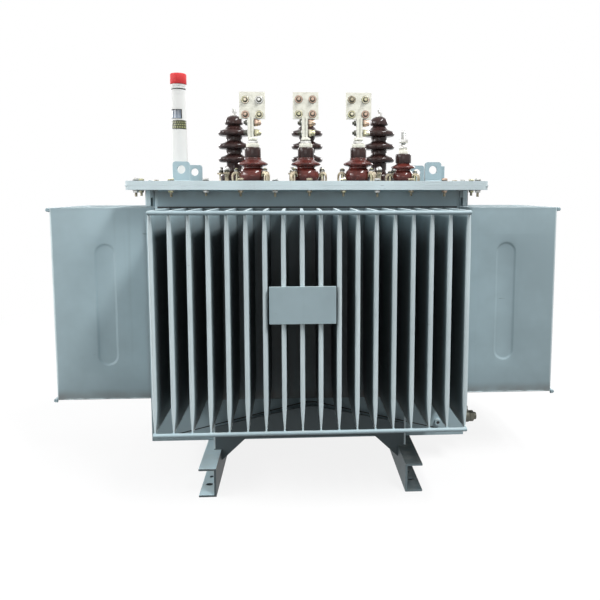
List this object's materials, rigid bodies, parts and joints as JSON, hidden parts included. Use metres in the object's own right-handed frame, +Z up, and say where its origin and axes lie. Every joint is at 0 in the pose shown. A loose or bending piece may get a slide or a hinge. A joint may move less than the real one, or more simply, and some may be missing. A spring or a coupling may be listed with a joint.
{
  "type": "power transformer",
  "caption": "Oil-immersed three-phase distribution transformer: corrugated tank on channel skids, bolted cover with porcelain bushings, flag terminals and level gauge",
  "frame": {"origin": "on the ground plane under the middle of the tank, midway between the skids and between the front and rear fins", "axes": "+Z up; -Y is the front, where the low-voltage bushings, the nameplate holder and the skid ends face the viewer; +X to the viewer's right, along the long side of the tank"},
  "size_m": [1.6132, 0.9692, 1.2574],
  "materials": {
    "paint": "blue-grey machine enamel, satin",
    "lv_porcelain": "reddish brown glazed porcelain",
    "hv_porcelain": "dark brown glazed porcelain",
    "tinned": "tinned copper, dull",
    "brass": "brass, tarnished",
    "gauge_white": "white plastic tube",
    "gauge_red": "red plastic cap"
  },
  "bodies": {
    "root": {"tank_shell": "paint", "tank_floor": "paint", "fins_front": "paint", "fins_rear": "paint", "fins_left": "paint", "fins_right": "paint", "rim_flange": "paint", "cover": "paint", "skid_left": "paint", "skid_right": "paint", "bridge_plate_front": "paint", "bridge_plate_rear": "paint", "cover_stay": "paint", "nameplate_holder": "paint", "tie_bar_front_top": "paint", "tie_bar_front_bottom": "paint", "tie_bar_rear_top": "paint", "tie_bar_rear_bottom": "paint", "tie_bar_left_top": "paint", "tie_bar_left_bottom": "paint", "tie_bar_right_top": "paint", "tie_bar_right_bottom": "paint", "lifting_lug_front_left": "paint", "lifting_lug_front_right": "paint", "lifting_lug_rear_left": "paint", "lifting_lug_rear_right": "paint", "lv_bushing_a": "lv_porcelain", "lv_bushing_b": "lv_porcelain", "lv_bushing_c": "lv_porcelain", "lv_bushing_n": "lv_porcelain", "lv_terminal_a": "tinned", "hv_bushing_a": "hv_porcelain", "hv_stud_a": "brass", "lv_terminal_b": "tinned", "hv_bushing_b": "hv_porcelain", "hv_stud_b": "brass", "lv_terminal_c": "tinned", "hv_bushing_c": "hv_porcelain", "hv_stud_c": "brass", "lv_stud_n": "brass", "drain_valve": "brass", "gauge_tube": "gauge_white", "gauge_cap": "gauge_red"}
  },
  "joints": []
}
